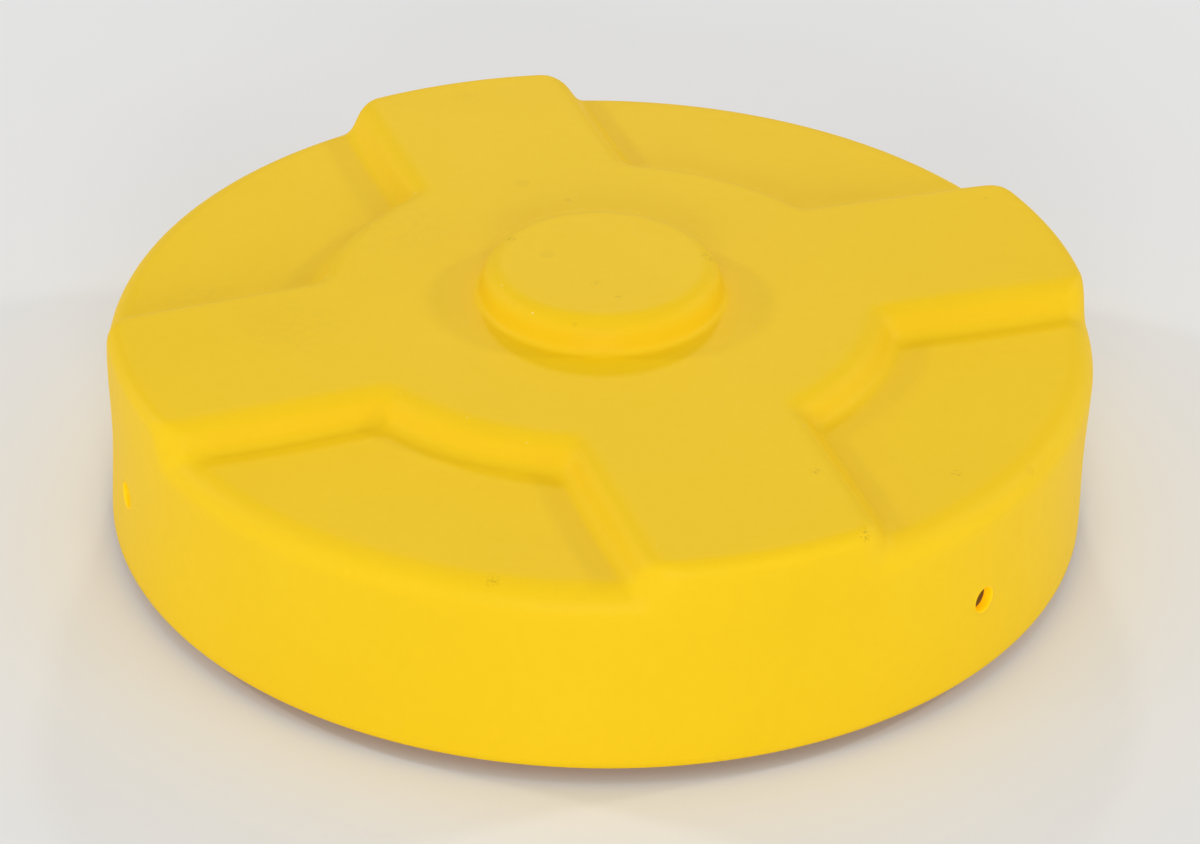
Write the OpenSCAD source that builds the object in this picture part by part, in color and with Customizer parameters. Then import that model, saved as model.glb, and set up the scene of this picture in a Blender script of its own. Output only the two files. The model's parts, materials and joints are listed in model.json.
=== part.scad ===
// Four-arm drum dolly: a one-piece moulded deck over a steel cross on four swivel casters.
// Millimetres, +Z up. The origin is on the floor under the centre, and the arms lie along X and Y.

/* [Deck] */
// Outer radius of the skirt
deck_r = 305; // [300:1:315]
// Height of the hem above the floor
hem_z = 12; // [10:1:18]
// Height of the four low sectors above the hem
low_rise = 119; // [117:1:121]
// Height of the arms and the plateau above the hem
arm_rise = 136; // [136:1:140]
// Height of the middle boss above the hem
boss_rise = 159; // [158:1:170]
// Wall thickness
wall = 6; // [5:0.5:7]
// Radius of the rounded rim between skirt and low sectors
rim_r = 17; // [12:1:18]
// Radius of the rounded rim at the end of an arm
arm_rim_r = 10; // [8:1:12]
// Half the width of an arm
arm_half_w = 72; // [68:1:85]
// Radius of the round plateau that joins the arms
plateau_r = 178; // [165:1:190]
// Radius of the middle boss
boss_r = 77; // [65:1:90]
// Radius of the boss's rounded edge
boss_edge_r = 9; // [5:1:10]

/* [Skirt holes] */
// Number of tie holes, spread evenly from -X
tie_count = 3; // [2:1:6]
// Radius of a tie hole
tie_r = 8; // [5:0.5:12]
// Height of the tie holes above the hem
tie_rise = 50; // [40:1:70]

/* [Steel cross] */
// Thickness of the steel cross
spider_t = 8; // [7:0.5:9]
// Width of each steel arm
spider_w = 100; // [96:1:116]
// Distance from the centre to the end of each steel arm
spider_reach = 272; // [262:1:280]
// Radius of the steel cross's middle
spider_hub_r = 95; // [80:1:130]

/* [Casters] */
// Distance from the centre to each swivel axis
caster_radius = 200; // [185:1:202]
// Distance the axle trails behind the swivel axis
trail = 38; // [34:1:40]
// Wheel radius over the tyre
wheel_r = 50; // [46:1:50]
// Tyre width
tyre_w = 36; // [30:1:38]
// Thickness of the tyre on its rim
tyre_t = 9; // [6:0.5:10]
// Length of a caster's top plate along the arm
plate_l = 105; // [100:1:115]
// Width of a caster's top plate across the arm
plate_w = 85; // [80:1:90]
// Distance between the plate's bolt holes along the arm
plate_pitch_l = 80; // [76:1:84]
// Distance between the plate's bolt holes across the arm
plate_pitch_w = 60; // [56:1:62]

/* [Hidden] */
$fn = 72;
CASTERS = [1 : 4];
CASTER_PARTS = [
    "top_plate", "king_bolt", "swivel_balls", "lower_race", "fork", "axle_bolt",
    "axle_nut", "axle_sleeve", "thread_guards", "roller_cage", "wheel_core", "tyre"
];

// Gap in a rolling fit, gap of a threaded or slipped-on fit, and how far a cut runs past a face
roll_gap = 0.15;
slip_gap = 0.05;
past = 1;

// Deck levels above the floor
low_top = hem_z + low_rise;
arm_top = hem_z + arm_rise;
boss_top = hem_z + boss_rise;
arm_under = arm_top - wall;
// Solid post under the boss, which holds the insert
post_r = 24;
// Where the one moulding is divided into nodes of simpler shape that meet face to face
top_cut_r = deck_r - rim_r - 4;
panel_half_deg = 12;

// Centre fastening, M12
bolt_r = 6;
hex_r = 11;
head_h = 7.5;
insert_r = 11;
insert_h = 22;
insert_depth = 20.5;
insert_flange_r = 14;
insert_flange_h = 3;
centre_washer_r = 22;
centre_washer_t = 3;
centre_thread = 19;

// Plate fastening, M8 countersunk
screw_r = 4;
screw_head_r = 8;
screw_head_h = 4.6;
screw_tail = 0.8;
screw_hole_r = 4.5;
slot_travel = 4;
washer_r = 8;
washer_t = 1.6;
nut_r = 7.5;
nut_h = 6.5;

// Swivel head, from the top plate down
plate_top = arm_under - spider_t;
plate_t = 4;
plate_z = plate_top - plate_t;
plate_corner_r = 8;
king_head_r = 11;
king_head_h = 5;
king_head_hole_r = 14;
race_r = 34.5;
race_z = plate_z - 9;
ball_r = 4;
ball_pitch_r = 25;
ball_count = 18;
ball_z = race_z - 1;
crown_r = 33.5;
crown_top = ball_z - 1;
crown_t = 7;
crown_z = crown_top - crown_t;
crown_bore_r = 8.5;
low_ball_r = 3;
low_ball_pitch_r = 14;
low_ball_count = 13;
low_ball_z = crown_z - 2;
low_race_r = 18.5;
low_race_top = low_ball_z - 0.8;
low_race_z = low_race_top - 5.7;
king_nut_h = 8;
king_tail = 1;
seal_r = 37;
seal_gap = 0.8;
seal_top_gap = 1;

// Fork
leg_t = 4;
leg_inner = 22;
leg_outer = leg_inner + leg_t;
leg_end_r = 16;
saddle_back = trail + 8;
saddle_front = 24;
fork_top_h = 12;

// Axle and wheel bearing
sleeve_r = 8;
hub_bore_r = 12.1;
roller_pitch_r = (sleeve_r + hub_bore_r) / 2;
roller_r = (hub_bore_r - sleeve_r) / 2 - 0.1;
roller_count = 10;
roller_l = 30;
cage_l = 34;
cage_wall = 2.2;
axle_nut_h = 10;
axle_tail = 2;

// Wheel
hub_r = 20;
hub_half_l = 20;
web_half_t = 5;
rim_wall = 5;
core_r = wheel_r - tyre_t;
core_half_w = tyre_w / 2 - 1;
tread_corner_r = 5;
rib_count = 6;
rib_t = 4;
rib_half_w = 12;
guard_r = 22.5;
guard_lip_t = 1.7;
guard_t = 1.5;
guard_lip = 3.5;

// A closed round cap from height base to height top, with a rounded rim made of a true quarter ring
module cap(r, base, top, edge) {
    translate([0, 0, base]) cylinder(r = r, h = top - edge - base);
    translate([0, 0, base]) cylinder(r = r - edge, h = top - base);
    translate([0, 0, top - edge]) rotate_extrude() intersection() {
        translate([r - edge, 0]) circle(r = edge);
        translate([r - edge - past, -past]) square([edge + 2 * past, edge + 2 * past]);
    }
}

// Plan of the raised cross, shrunk on every side by inset
module cross_plan(inset) {
    circle(r = plateau_r - inset);
    for (a = [0, 90])
        rotate(a) square([2 * deck_r + 2 * past, 2 * (arm_half_w - inset)], center = true);
}

// The deck's outer shape for inset 0, and the space inside it for inset wall
module deck_body(inset, base) {
    cap(deck_r - inset, base, low_top - inset, rim_r - inset);
    intersection() {
        cap(deck_r - inset, base, arm_top - inset, arm_rim_r - inset);
        translate([0, 0, base]) linear_extrude(arm_top) cross_plan(inset);
    }
    cap(boss_r - inset, base, boss_top - inset, max(boss_edge_r - inset, 1));
}

module at_tie_holes() {
    for (i = [0 : tie_count - 1]) rotate(180 + i * 360 / tie_count) children();
}

// The whole deck, which is one moulding
module moulding() {
    difference() {
        union() {
            difference() {
                deck_body(0, hem_z);
                deck_body(wall, hem_z - past);
            }
            translate([0, 0, arm_under]) cylinder(r = post_r, h = boss_top - wall - arm_under + past);
        }
        centre_insert_solid();
        at_tie_holes() translate([deck_r - 3 * wall, 0, hem_z + tie_rise])
            rotate([0, 90, 0]) cylinder(r = tie_r, h = 4 * wall);
    }
}

module inside_top_cut() cylinder(r = top_cut_r, h = boss_top + past);

// A wedge round each tie hole, from the middle out past the skirt
module panel_wedges() {
    far = 2 * deck_r;
    at_tie_holes() linear_extrude(boss_top + past)
        polygon([[0, 0], [far, -far * tan(panel_half_deg)], [far, far * tan(panel_half_deg)]]);
}

module deck() {
    color("gold") intersection() {
        moulding();
        inside_top_cut();
    }
}

module deck_hole_panels() {
    color("gold") difference() {
        intersection() {
            moulding();
            panel_wedges();
        }
        inside_top_cut();
    }
}

module deck_rim_arcs() {
    color("gold") difference() {
        moulding();
        panel_wedges();
        inside_top_cut();
    }
}

module centre_insert_solid() {
    translate([0, 0, arm_under]) {
        cylinder(r = insert_r, h = insert_h);
        cylinder(r = insert_flange_r, h = insert_flange_h);
    }
}

module centre_insert() {
    color("goldenrod") difference() {
        centre_insert_solid();
        translate([0, 0, arm_under - past]) cylinder(r = bolt_r + slip_gap, h = insert_depth + past);
    }
}

// Hexagonal prism with corner radius r, standing on height 0
module hex(r, h) cylinder(r = r, h = h, $fn = 6);

module ring(outer, inner, h) {
    difference() {
        cylinder(r = outer, h = h);
        translate([0, 0, -past]) cylinder(r = inner, h = h + 2 * past);
    }
}

module centre_bolt() {
    color("silver") translate([0, 0, plate_top - centre_washer_t]) {
        translate([0, 0, -head_h]) hex(hex_r, head_h);
        cylinder(r = bolt_r, h = centre_washer_t + spider_t + centre_thread);
    }
}

module centre_washer() {
    color("gainsboro") translate([0, 0, plate_top - centre_washer_t])
        ring(centre_washer_r, bolt_r + slip_gap, centre_washer_t);
}

// Places its children on caster k, with local +X pointing outwards along the arm
module at_caster(k) {
    rotate(90 * (k - 1)) translate([caster_radius, 0, 0]) children();
}

module at_plate_holes() {
    for (x = [-1, 1], y = [-1, 1])
        translate([x * plate_pitch_l / 2, y * plate_pitch_w / 2, 0]) children();
}

module screw_head() {
    cylinder(r1 = screw_r, r2 = screw_head_r, h = screw_head_h);
}

module spider() {
    color("dimgray") difference() {
        translate([0, 0, plate_top]) linear_extrude(spider_t) {
            circle(r = spider_hub_r);
            intersection() {
                circle(r = spider_reach);
                for (a = [0, 90])
                    rotate(a) square([2 * spider_reach + past, spider_w], center = true);
            }
        }
        translate([0, 0, plate_top - past]) cylinder(r = bolt_r + slip_gap, h = spider_t + 2 * past);
        for (k = CASTERS) at_caster(k) {
            translate([0, 0, plate_top - past]) cylinder(r = king_head_hole_r, h = spider_t + 2 * past);
            at_plate_holes() {
                translate([0, 0, plate_top - past]) cylinder(r = screw_hole_r, h = spider_t + 2 * past);
                translate([0, 0, arm_under - screw_head_h]) screw_head();
            }
        }
    }
}

module mount_screws() {
    shank_z = plate_z - washer_t - nut_h - screw_tail;
    color("silver") for (k = CASTERS) at_caster(k) at_plate_holes() {
        translate([0, 0, shank_z]) cylinder(r = screw_r, h = arm_under - screw_head_h - shank_z);
        translate([0, 0, arm_under - screw_head_h]) screw_head();
    }
}

module mount_washers() {
    color("gainsboro") for (k = CASTERS) at_caster(k) at_plate_holes()
        translate([0, 0, plate_z - washer_t]) ring(washer_r, screw_r + slip_gap, washer_t);
}

module hex_nut(corner_r, bore_r, h) {
    difference() {
        hex(corner_r, h);
        translate([0, 0, -past]) cylinder(r = bore_r + slip_gap, h = h + 2 * past);
    }
}

module mount_nuts() {
    color("silver") for (k = CASTERS) at_caster(k) at_plate_holes()
        translate([0, 0, plate_z - washer_t - nut_h]) hex_nut(nut_r, screw_r, nut_h);
}

module king_nuts() {
    color("silver") for (k = CASTERS) at_caster(k)
        translate([0, 0, low_race_z - king_nut_h]) hex_nut(hex_r, bolt_r, king_nut_h);
}

module dust_seals() {
    seal_z = crown_top + seal_gap;
    color("black") for (k = CASTERS) at_caster(k)
        translate([0, 0, seal_z]) ring(seal_r, race_r, plate_z - seal_top_gap - seal_z);
}

// Groove that a row of balls runs in
module ball_groove(pitch_r, r, z) {
    translate([0, 0, z]) rotate_extrude() translate([pitch_r, 0]) circle(r = r + roll_gap);
}

module top_plate() {
    sx = plate_l / 2 - plate_corner_r;
    sy = plate_w / 2 - plate_corner_r;
    color("lightgray") difference() {
        union() {
            translate([0, 0, plate_z]) linear_extrude(plate_t) {
                square([plate_l, 2 * sy], center = true);
                square([2 * sx, plate_w], center = true);
                for (x = [-sx, sx], y = [-sy, sy]) translate([x, y]) circle(r = plate_corner_r);
            }
            translate([0, 0, race_z]) cylinder(r = race_r, h = plate_z - race_z + past);
        }
        translate([0, 0, race_z - past]) cylinder(r = bolt_r + slip_gap, h = plate_top - race_z + 2 * past);
        ball_groove(ball_pitch_r, ball_r, ball_z);
        at_plate_holes() translate([0, 0, plate_z - past]) linear_extrude(plate_t + 2 * past) {
            square([slot_travel, 2 * screw_hole_r], center = true);
            for (x = [-1, 1]) translate([x * slot_travel / 2, 0]) circle(r = screw_hole_r);
        }
    }
}

module king_bolt() {
    end_z = low_race_z - king_nut_h - king_tail;
    color("silver") {
        translate([0, 0, end_z]) cylinder(r = bolt_r, h = plate_top - end_z);
        translate([0, 0, plate_top]) cylinder(r = king_head_r, h = king_head_h);
    }
}

module ball_row(count, pitch_r, r, z) {
    for (i = [0 : count - 1])
        rotate(i * 360 / count) translate([pitch_r, 0, z]) sphere(r = r, $fn = 36);
}

module swivel_balls() {
    color("white") {
        ball_row(ball_count, ball_pitch_r, ball_r, ball_z);
        ball_row(low_ball_count, low_ball_pitch_r, low_ball_r, low_ball_z);
    }
}

module lower_race() {
    color("lightgray") difference() {
        translate([0, 0, low_race_z]) ring(low_race_r, bolt_r + slip_gap, low_race_top - low_race_z);
        ball_groove(low_ball_pitch_r, low_ball_r, low_ball_z);
    }
}

// Outline of a fork leg in X and Z, from the saddle down to the axle
module leg_plan() {
    hull() {
        translate([-saddle_back, crown_top - fork_top_h])
            square([saddle_back + saddle_front, fork_top_h]);
        translate([-trail, wheel_r]) circle(r = leg_end_r, $fn = 32);
    }
}

// Turns a solid that stands on Z to lie along +Y at the axle
module along_axle() {
    translate([-trail, 0, wheel_r]) rotate([-90, 0, 0]) children();
}

module fork() {
    color("lightgray") difference() {
        union() {
            translate([0, 0, crown_z]) cylinder(r = crown_r, h = crown_t);
            translate([-saddle_back, -leg_outer, crown_z])
                cube([saddle_back + saddle_front, 2 * leg_outer, crown_t]);
            for (y = [leg_outer, -leg_inner])
                translate([0, y, 0]) rotate([90, 0, 0]) linear_extrude(leg_t) leg_plan();
        }
        translate([0, 0, crown_z - past]) cylinder(r = crown_bore_r, h = crown_t + 2 * past);
        ball_groove(ball_pitch_r, ball_r, ball_z);
        ball_groove(low_ball_pitch_r, low_ball_r, low_ball_z);
        along_axle() translate([0, 0, -leg_outer - past])
            cylinder(r = bolt_r + slip_gap, h = 2 * (leg_outer + past));
    }
}

module axle_bolt() {
    color("silver") along_axle() {
        translate([0, 0, -leg_outer - head_h]) hex(hex_r, head_h);
        translate([0, 0, -leg_outer]) cylinder(r = bolt_r, h = 2 * leg_outer + axle_nut_h + axle_tail);
    }
}

module axle_nut() {
    color("silver") along_axle() translate([0, 0, leg_outer]) hex_nut(hex_r, bolt_r, axle_nut_h);
}

module axle_sleeve() {
    color("gainsboro") along_axle() translate([0, 0, -leg_inner])
        ring(sleeve_r, bolt_r + slip_gap, 2 * leg_inner);
}

module thread_guards() {
    color("dimgray") along_axle() for (side = [0, 1]) mirror([0, 0, side]) {
        translate([0, 0, leg_inner - guard_t]) ring(guard_r, sleeve_r, guard_t);
        translate([0, 0, leg_inner - guard_t - guard_lip])
            ring(guard_r, guard_r - guard_lip_t, guard_lip + guard_t / 2);
    }
}

module at_rollers() {
    for (i = [0 : roller_count - 1])
        rotate(i * 360 / roller_count) translate([roller_pitch_r, 0, 0]) children();
}

module roller_cage() {
    color("ivory") along_axle() {
        difference() {
            translate([0, 0, -cage_l / 2])
                ring(roller_pitch_r + cage_wall / 2, roller_pitch_r - cage_wall / 2, cage_l);
            at_rollers() cylinder(r = roller_r + 2 * roll_gap, h = roller_l + 2 * roll_gap, center = true);
        }
        at_rollers() cylinder(r = roller_r, h = roller_l, center = true);
    }
}

module wheel_core() {
    color("gray") along_axle() difference() {
        union() {
            cylinder(r = hub_r, h = 2 * hub_half_l, center = true);
            cylinder(r = core_r - past, h = 2 * web_half_t, center = true);
            translate([0, 0, -core_half_w]) ring(core_r, core_r - rim_wall, 2 * core_half_w);
            for (i = [0 : rib_count - 1]) rotate(i * 360 / rib_count)
                translate([hub_r - past, -rib_t / 2, -rib_half_w])
                    cube([core_r - rim_wall - hub_r + 2 * past, rib_t, 2 * rib_half_w]);
        }
        cylinder(r = hub_bore_r, h = 2 * hub_half_l + 2 * past, center = true);
    }
}

module tyre() {
    half = tyre_w / 2;
    corner = [wheel_r - tread_corner_r, half - tread_corner_r];
    color("darkslategray") along_axle() rotate_extrude() difference() {
        union() {
            translate([core_r, -corner[1]]) square([tyre_t, 2 * corner[1]]);
            translate([core_r, -half]) square([tyre_t - tread_corner_r, 2 * half]);
            for (y = [-1, 1]) translate([corner[0], y * corner[1]]) circle(r = tread_corner_r);
        }
        translate([0, -half - past]) square([core_r, 2 * half + 2 * past]);
    }
}

module caster_part(part) {
    if (part == "top_plate") top_plate();
    if (part == "king_bolt") king_bolt();
    if (part == "swivel_balls") swivel_balls();
    if (part == "lower_race") lower_race();
    if (part == "fork") fork();
    if (part == "axle_bolt") axle_bolt();
    if (part == "axle_nut") axle_nut();
    if (part == "axle_sleeve") axle_sleeve();
    if (part == "thread_guards") thread_guards();
    if (part == "roller_cage") roller_cage();
    if (part == "wheel_core") wheel_core();
    if (part == "tyre") tyre();
}

deck();
deck_rim_arcs();
deck_hole_panels();
centre_insert();
centre_bolt();
centre_washer();
spider();
mount_screws();
mount_washers();
mount_nuts();
king_nuts();
dust_seals();
for (part = CASTER_PARTS, k = CASTERS)
    at_caster(k) caster_part(part);
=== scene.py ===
# %% [markdown]
# # A four-arm drum dolly
# The dolly is one yellow moulded deck over a steel cross and four swivel casters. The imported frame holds
# every part at its real size and place, so this lesson only adds looks: finer meshes, finishes, light and a
# camera.

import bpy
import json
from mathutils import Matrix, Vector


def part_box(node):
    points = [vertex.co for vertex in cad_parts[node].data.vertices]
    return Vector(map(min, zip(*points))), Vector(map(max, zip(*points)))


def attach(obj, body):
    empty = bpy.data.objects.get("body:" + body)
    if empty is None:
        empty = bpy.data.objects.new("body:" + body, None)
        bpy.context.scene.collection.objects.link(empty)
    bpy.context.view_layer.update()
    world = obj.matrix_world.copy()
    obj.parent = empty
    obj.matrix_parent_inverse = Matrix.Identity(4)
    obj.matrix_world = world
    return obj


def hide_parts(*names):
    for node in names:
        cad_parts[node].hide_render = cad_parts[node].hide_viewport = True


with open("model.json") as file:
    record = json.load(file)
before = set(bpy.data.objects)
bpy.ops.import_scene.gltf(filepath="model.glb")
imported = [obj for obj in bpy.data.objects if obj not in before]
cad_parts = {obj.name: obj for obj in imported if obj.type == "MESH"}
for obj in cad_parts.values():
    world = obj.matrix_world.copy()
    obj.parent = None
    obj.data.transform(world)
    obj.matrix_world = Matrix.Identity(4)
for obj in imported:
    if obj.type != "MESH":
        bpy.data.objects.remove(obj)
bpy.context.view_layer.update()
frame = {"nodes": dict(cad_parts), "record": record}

# %% Tools used by every later cell
import json
import math

import bmesh
import bpy
import numpy as np
from mathutils import Matrix, Vector

MM = 0.001
TAU = 2 * math.pi
record = frame["record"]
mounts = {m["name"]: m for m in record["mounts"]}
collection = bpy.context.scene.collection
scene = bpy.context.scene

# %% [markdown]
# ## The camera
# A long lens from about three metres away keeps the round deck's ellipse calm. The camera looks down at
# 31.5 degrees, a little to the left of the front arm, with a very slight roll, as a hand-levelled tripod
# has.

# %% Make the camera
VIEW_AZIMUTH, VIEW_ELEVATION, VIEW_ROLL = math.radians(-19.2), math.radians(31.5), math.radians(-1.0)
VIEW_DISTANCE, LENS_MM, SENSOR_MM, CLIP_END = 3.12, 150, 36, 50
AIM = Vector((0.0006, 0, 0.059))


def direction(a, e):
    """Unit vector from the deck towards azimuth a and elevation e, where azimuth 0 is towards -Y."""
    return Vector((math.sin(a) * math.cos(e), -math.cos(a) * math.cos(e), math.sin(e)))


def make_camera():
    camera = bpy.data.objects.new("camera", bpy.data.cameras.new("camera"))
    collection.objects.link(camera)
    camera.data.lens = LENS_MM
    camera.data.sensor_width = SENSOR_MM
    camera.data.clip_end = CLIP_END
    back = direction(VIEW_AZIMUTH, VIEW_ELEVATION)
    camera.location = AIM + back * VIEW_DISTANCE
    turn = (-back).to_track_quat("-Z", "Y").to_matrix() @ Matrix.Rotation(-VIEW_ROLL, 3, "Z")
    camera.rotation_euler = turn.to_euler()
    scene.camera = camera


make_camera()
print("camera at", [round(c, 3) for c in scene.camera.location])

# %% [markdown]
# ## Shader maths as expressions
# A procedural finish is mostly arithmetic on noise. `Wire` wraps a socket, so that `1 - mask * 0.5` adds
# the Math nodes itself. `Finish.node` makes any other node from its type, its settings and its inputs.


# %% A wrapped socket and a finish
class Wire:
    """One output socket, with the operators that add Math nodes."""

    def __init__(self, finish, socket):
        self.finish, self.socket = finish, socket

    def math(self, operation, *others):
        wires = dict(enumerate((self, *others)))
        return self.finish.node("ShaderNodeMath", {"operation": operation}, wires)["Value"]

    def __add__(self, other):
        return self.math("ADD", other)

    def __sub__(self, other):
        return self.math("SUBTRACT", other)

    def __mul__(self, other):
        return self.math("MULTIPLY", other)

    def __rsub__(self, other):
        return (self * -1).math("ADD", other)

    __radd__, __rmul__ = __add__, __mul__

    def over(self, low, high):
        """A soft mask: 0 below low, 1 above high."""
        return self.finish.node(
            "ShaderNodeMapRange",
            {"interpolation_type": "SMOOTHSTEP"},
            {"Value": self, "From Min": low, "From Max": high},
        )["Result"]


class Finish:
    """A material with one Principled shader, and short calls for what feeds it."""

    def __init__(self, name, **constants):
        self.material = bpy.data.materials.new(name)
        self.material.use_nodes = True
        self.tree = self.material.node_tree
        self.shader = self.tree.nodes["Principled BSDF"]
        self.put(self.shader, constants)
        self.place = self.node("ShaderNodeTexCoord")["Object"]

    def put(self, node, inputs):
        for key, value in inputs.items():
            if isinstance(key, int):
                socket = node.inputs[key]
            else:
                socket = next(s for s in node.inputs if key in (s.identifier, s.name))
            if isinstance(value, Wire):
                self.tree.links.new(value.socket, socket)
            else:
                socket.default_value = value

    def node(self, kind, settings=None, inputs=None):
        made = self.tree.nodes.new(kind)
        for key, value in (settings or {}).items():
            setattr(made, key, value)
        self.put(made, inputs or {})
        return {s.identifier: Wire(self, s) for s in made.outputs} | {
            s.name: Wire(self, s) for s in made.outputs if s.enabled
        }

    def noise(self, scale, detail=3.0, roughness=0.55, stretch=None, distortion=0.0):
        """Soft random values from 0 to 1, with `scale` lumps a metre."""
        place = self.place
        if stretch:
            place = self.node("ShaderNodeMapping", None, {"Vector": place, "Scale": stretch})["Vector"]
        return self.node(
            "ShaderNodeTexNoise",
            None,
            {
                "Vector": place,
                "Scale": scale,
                "Detail": detail,
                "Roughness": roughness,
                "Distortion": distortion,
            },
        )["Fac"]

    def spots(self, scale, size):
        """Small round marks: 1 inside a mark and 0 outside, with `scale` cells a metre."""
        cell = self.node(
            "ShaderNodeTexVoronoi",
            {"feature": "F1"},
            {"Vector": self.place, "Scale": scale},
        )["Distance"]
        return 1 - cell.over(size * 0.6, size)

    def mark(self, x, y, z, size, hardness):
        """A soft round mark of `size` millimetres about one point, with a harder edge as hardness nears 1."""
        away = self.node(
            "ShaderNodeVectorMath", {"operation": "DISTANCE"}, {0: self.place, 1: (x * MM, y * MM, z * MM)}
        )["Value"]
        return 1 - away.over(size * MM * hardness, size * MM)

    def attribute(self, name):
        return self.node("ShaderNodeAttribute", {"attribute_name": name})["Fac"]

    def blend(self, mask, below, above):
        """The colour `above` laid over the colour `below` where the mask is 1."""
        return self.node(
            "ShaderNodeMix",
            {"data_type": "RGBA"},
            {"Factor_Float": mask, "A_Color": below, "B_Color": above},
        )["Result_Color"]

    def bump(self, height, distance, strength):
        return self.node(
            "ShaderNodeBump", None, {"Height": height, "Distance": distance, "Strength": strength}
        )["Normal"]

    def set(self, **wires):
        names = {
            "color": "Base Color",
            "roughness": "Roughness",
            "metallic": "Metallic",
            "normal": "Normal",
            "glow": "Emission Color",
        }
        self.put(self.shader, {names[key]: value for key, value in wires.items()})
        return self.material


def rgb(red, green, blue):
    """An sRGB colour of 0 to 255 as the linear colour that a shader takes."""
    linear = [
        (c / 255 / 12.92) if c <= 10 else ((c / 255 + 0.055) / 1.055) ** 2.4
        for c in (red, green, blue)
    ]
    return (*linear, 1.0)


print("shader tools ready")

# %% [markdown]
# ## Yellow polyethylene
# Rotationally moulded polyethylene is satin: it has no sharp reflections, a very fine skin texture, and
# only the faintest clouds of tone. Handling leaves smudges, dots and scuffs, which are placed one by one,
# and pale nicks, which noise scatters where the `wear` attribute says that the deck is rubbed. A thin wall
# also lets light through. A weak orange glow, painted light made with emission, follows the `inside`
# attribute and stands in for that light; its strength is a guess.


# %% Finish of the deck
GLOW, SMUDGE_SHADE, DOT_SHADE, SCUFF_SHADE, STAIN_SHADE, NICK_SHADE = 0.5, 0.05, 0.06, 0.3, 0.09, 0.7
NICK_DEPTH, SKIN_BUMP = 0.8, 0.0001

# Each mark is x, y, z and radius, in millimetres.
SMUDGES = ((1, 275, 148, 15), (-190, 20, 150, 45), (-95, 120, 150, 50), (-230, 95, 131, 30))
DOTS = ((-3, 148, 151, 6), (191, -233, 129, 6), (-29, 19, 174, 6))
SCUFFS = (
    (-44, 44, 174, 5),
    (143, -229, 133, 5),
    (-151, -255, 131, 6),
    (54, -229, 150, 4.5),
    (59, -294, 145, 6),
    (65, -11, 172, 7),
    (-12, -23, 174, 4),
    (-4, -43, 174, 3.5),
)


def deck_finish():
    f = Finish("yellow_polyethylene", **{"IOR": 1.5, "Specular IOR Level": 0.2, "Emission Strength": GLOW})
    clouds = f.noise(7, detail=2, distortion=0.4)
    mottle = f.noise(140, detail=4)
    skin = f.noise(1500, detail=2)
    color = f.blend(clouds.over(0.3, 0.7), rgb(246, 203, 8), rgb(248, 205, 10))
    color = f.blend(mottle.over(0.35, 0.75) * 0.2, color, rgb(242, 197, 8))
    smoke = f.noise(120, detail=5, distortion=1.2).over(0.35, 0.7)
    for x, y, z, size in SMUDGES:
        color = f.blend(f.mark(x, y, z, size, 0.2) * smoke * SMUDGE_SHADE, color, rgb(150, 116, 40))
    for x, y, z, size in DOTS:
        color = f.blend(f.mark(x, y, z, size, 0.6) * DOT_SHADE, color, rgb(120, 92, 30))
    ragged = f.noise(420, detail=4, stretch=(1, 2.2, 1)).over(0.5, 0.6)
    for x, y, z, size in SCUFFS:
        color = f.blend(f.mark(x, y, z, size, 0.3) * ragged * SCUFF_SHADE, color, rgb(104, 80, 24))
    stain = f.spots(9, 0.03) * f.noise(31, detail=1).over(0.5, 0.55)
    color = f.blend(stain * STAIN_SHADE, color, rgb(120, 92, 30))
    nick = f.attribute("wear") * f.spots(190, 0.16) * f.noise(60, detail=2).over(0.58, 0.64)
    color = f.blend(nick * NICK_SHADE, color, rgb(255, 236, 150))
    rough = 0.5 + mottle * 0.06 + skin * 0.05 + nick * 0.2
    height = skin * 0.5 + mottle * 0.25 + nick * -NICK_DEPTH
    # Painted glow: an orange emission on the `inside` points, standing in for light through the thin wall.
    glow = f.blend(f.attribute("inside"), rgb(0, 0, 0), rgb(250, 165, 4))
    return f.set(color=color, roughness=rough, normal=f.bump(height, SKIN_BUMP, 0.5), glow=glow)


yellow_polyethylene = deck_finish()
print("made", yellow_polyethylene.name)

# %% [markdown]
# ## Metal, rubber and plastic finishes
# The rolling gear uses few finishes. Zinc plate is a pale metal with a cloudy sheen, paint is dark with
# chips that show steel, and rubber is matte with dust in it. The zinc, plastic and polished finishes each
# serve two materials, so they take a tone as red, green and blue.


# %% Finishes of the rolling gear
def shifted(tone, step):
    """A tone with each channel moved by a step, up to 255."""
    return rgb(*[min(channel + step, 255) for channel in tone])


def zinc_finish(name, tone, grain):
    f = Finish(name)
    clouds, streak = f.noise(45, detail=4, distortion=0.6), f.noise(grain, detail=5, stretch=(1, 1, 6))
    worn = f.attribute("wear") * f.noise(90, detail=3).over(0.3, 0.6)
    color = f.blend(clouds.over(0.3, 0.7), shifted(tone, -24), rgb(*tone))
    color = f.blend(f.noise(25, detail=6).over(0.6, 0.78) * 0.5, color, rgb(146, 140, 128))
    color = f.blend(worn * 0.8, color, rgb(226, 227, 229))
    rough = 0.26 + clouds * 0.16 + streak * 0.14 - worn * 0.1
    metal = 1 - f.noise(80, detail=5).over(0.66, 0.74) * 0.35
    return f.set(color=color, roughness=rough, metallic=metal, normal=f.bump(streak, 0.00006, 0.5))


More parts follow.
